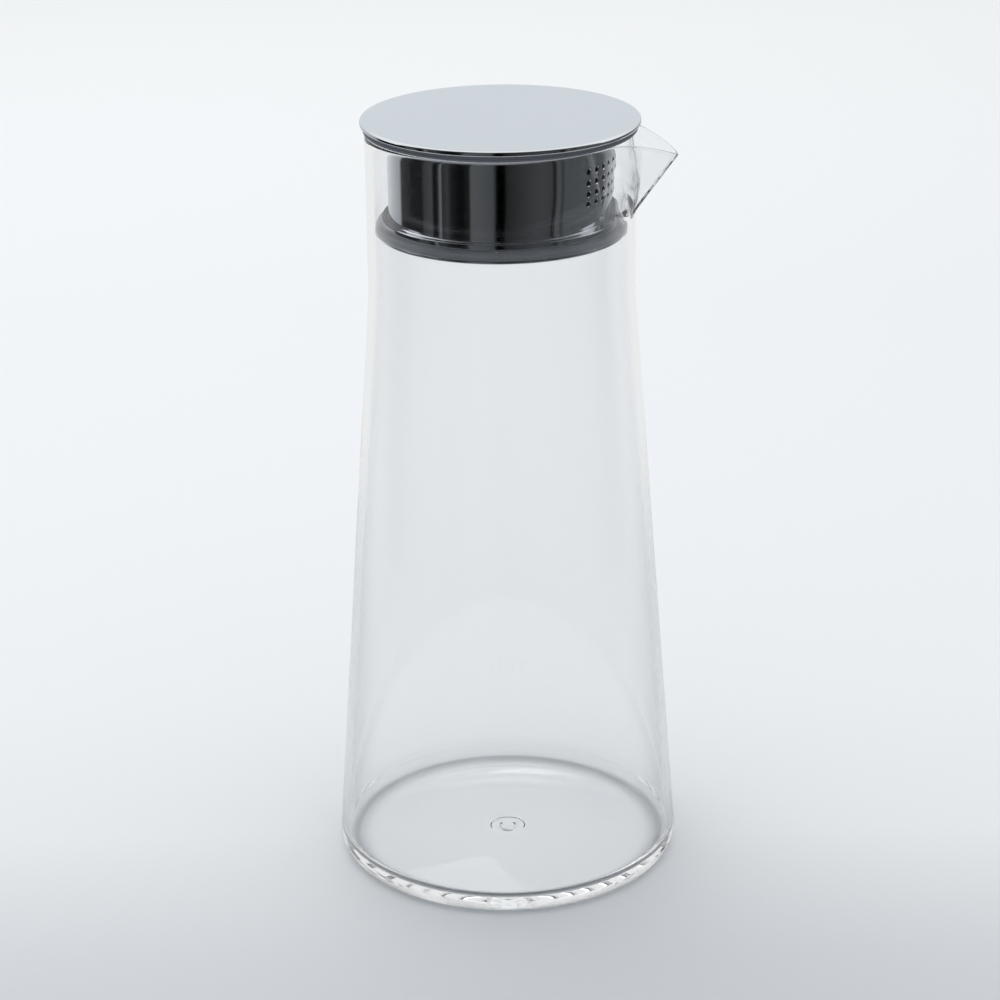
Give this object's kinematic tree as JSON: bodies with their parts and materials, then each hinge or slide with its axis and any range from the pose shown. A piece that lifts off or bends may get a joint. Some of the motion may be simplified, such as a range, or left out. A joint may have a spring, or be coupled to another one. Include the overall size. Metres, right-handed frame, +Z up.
{
  "type": "lidded carafe",
  "caption": "Tall clear plastic carafe, tapered to a straight neck with a drooping pointed spout, and a plated lid whose strainer plug lifts out of the neck and turns to pour or close.",
  "frame": {"origin": "centre of the foot ring, on the standing plane", "axes": "+Z up along the carafe's axis, +X towards the tip of the spout, +Y to the left of the pouring direction"},
  "size_m": [0.1134, 0.1134, 0.25],
  "materials": {
    "clear_plastic": "polished",
    "plated_cover": "polished",
    "core_plastic": "satin",
    "plated_band": "polished",
    "plated_ring": "polished",
    "seal_silicone": "satin"
  },
  "bodies": {
    "carafe": {"carafe_body": "clear_plastic"},
    "seal": {"plug_seal": "seal_silicone"},
    "lid": {"lid_cover": "plated_cover", "lid_core": "core_plastic", "strainer_band": "plated_band", "seal_carrier": "plated_ring"}
  },
  "joints": [
    {"name": "lid_lift", "type": "slide", "parent": "carafe", "child": "seal", "axis": [0, 0, 1], "range_m": [0, 0.05]},
    {"name": "lid_turn", "type": "hinge", "parent": "seal", "child": "lid", "pos_m": [0, 0, 0.23], "axis": [0, 0, 1], "continuous": true}
  ]
}
